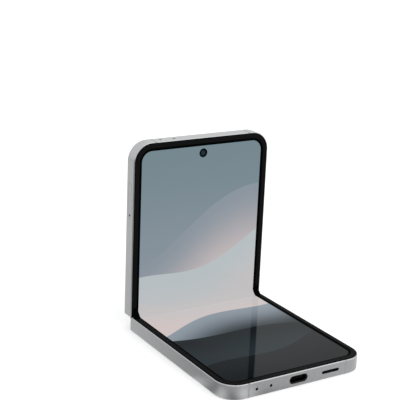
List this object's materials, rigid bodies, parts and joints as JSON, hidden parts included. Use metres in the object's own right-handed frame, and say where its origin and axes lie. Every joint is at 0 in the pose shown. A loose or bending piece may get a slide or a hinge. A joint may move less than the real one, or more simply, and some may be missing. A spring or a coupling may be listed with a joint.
{
  "type": "flip phone",
  "caption": "Flip phone that folds across the middle on a geared two-axis hinge, with a large bending display, a cover display and twin rear cameras.",
  "frame": {"origin": "middle of the lower half's back face, where the phone rests", "axes": "+X across the phone to the side with the keys, +Y from the socket end to the fold, +Z out of the lower display"},
  "size_m": [0.0723, 0.0898, 0.0888],
  "materials": {
    "satin_silver": "satin anodised",
    "bright_silver": "polished edge, satin face",
    "antenna_plastic": "matt, flush with the metal",
    "silver_glass": "frosted glass with silver backing",
    "black_glass": "gloss glass with black backing",
    "lens_glass": "coated glass",
    "bezel_black": "fine matt",
    "screen": "gloss display showing a soft abstract picture",
    "plate_steel": "stamped sheet",
    "shaft_steel": "turned",
    "screw_steel": "machined",
    "battery_film": "wrapped pouch",
    "board_green": "solder mask",
    "cable_amber": "film cable",
    "coil_copper": "wound copper",
    "module_black": "moulded",
    "mesh_dark": "perforated sheet",
    "module_metal": "pressed can",
    "flash_yellow": "moulded lens"
  },
  "bodies": {
    "lower_half": {"lower_frame": "satin_silver", "lower_antenna_breaks": "antenna_plastic", "lower_back_glass": "silver_glass", "lower_bezel": "bezel_black", "lower_display": "screen", "lower_support_plate": "plate_steel", "lower_battery": "battery_film", "lower_cable": "cable_amber", "sub_board": "board_green", "sub_board_screws": "screw_steel", "usb_socket": "plate_steel", "usb_tongue": "module_black", "loudspeaker": "module_black", "speaker_mesh": "mesh_dark", "bottom_microphones": "module_metal", "vibration_motor": "module_metal", "charging_coil": "coil_copper", "lower_hinge_arms": "plate_steel", "lower_wing_screws": "screw_steel", "lower_spring_washers": "shaft_steel", "lower_hinge_shafts": "shaft_steel"},
    "hinge_spine": {"hinge_cover": "bright_silver", "hinge_housings": "plate_steel", "hinge_end_seals": "bezel_black", "housing_screws": "screw_steel", "centre_plate": "plate_steel", "display_fold": "screen", "hinge_cable": "cable_amber"},
    "upper_half": {"upper_frame": "satin_silver", "upper_antenna_breaks": "antenna_plastic", "cover_glass": "black_glass", "cover_display": "screen", "upper_bezel": "bezel_black", "upper_display": "screen", "upper_support_plate": "plate_steel", "upper_battery": "battery_film", "upper_cable": "cable_amber", "main_board": "board_green", "main_board_screws": "screw_steel", "shield_can": "plate_steel", "processor": "module_black", "sim_socket": "plate_steel", "wide_camera": "module_black", "ultrawide_camera": "module_black", "camera_rings": "bright_silver", "lens_glasses": "lens_glass", "flash": "flash_yellow", "selfie_camera": "module_black", "earpiece": "module_black", "top_microphones": "module_metal", "key_switches": "module_metal", "upper_hinge_arms": "plate_steel", "upper_wing_screws": "screw_steel", "upper_spring_washers": "shaft_steel", "upper_hinge_shafts": "shaft_steel"},
    "lower_idlers": {"lower_idler_gears": "shaft_steel"},
    "upper_idlers": {"upper_idler_gears": "shaft_steel"},
    "sim_tray": {"sim_tray": "bright_silver"},
    "power_key": {"power_key": "bright_silver"},
    "volume_key": {"volume_key": "bright_silver"}
  },
  "joints": [
    {"name": "lower_fold", "type": "hinge", "parent": "lower_half", "child": "hinge_spine", "pos_m": [0, 0.03923, 0.0054], "axis": [1, 0, 0], "range_deg": [-45, 45], "deforming": ["display_fold", "hinge_cable"]},
    {"name": "upper_fold", "type": "hinge", "parent": "hinge_spine", "child": "upper_half", "pos_m": [0, 0.04212, 0.0083], "axis": [1, 0, 0], "range_deg": [-45, 45]},
    {"name": "lower_idler_spin", "type": "hinge", "parent": "hinge_spine", "child": "lower_idlers", "pos_m": [0, 0.04064, 0.0057], "axis": [1, 0, 0], "range_deg": [-33, 33]},
    {"name": "upper_idler_spin", "type": "hinge", "parent": "hinge_spine", "child": "upper_idlers", "pos_m": [0, 0.04182, 0.00689], "axis": [1, 0, 0], "range_deg": [-33, 33]},
    {"name": "tray_slide", "type": "slide", "parent": "upper_half", "child": "sim_tray", "axis": [-1, 0, 0], "range_m": [0, 0.0145]},
    {"name": "power_press", "type": "slide", "parent": "upper_half", "child": "power_key", "axis": [-1, 0, 0], "range_m": [0, 0.0003], "stiffness_N_per_m": 3000, "springref_m": -0.0003},
    {"name": "volume_press", "type": "slide", "parent": "upper_half", "child": "volume_key", "axis": [-1, 0, 0], "range_m": [0, 0.0003], "stiffness_N_per_m": 3000, "springref_m": -0.0003}
  ],
  "couplings": [
    {"joint": "upper_fold", "follows": "lower_fold", "ratio": 1},
    {"joint": "lower_idler_spin", "follows": "lower_fold", "ratio": 0.71429},
    {"joint": "upper_idler_spin", "follows": "lower_fold", "ratio": -0.71429}
  ]
}
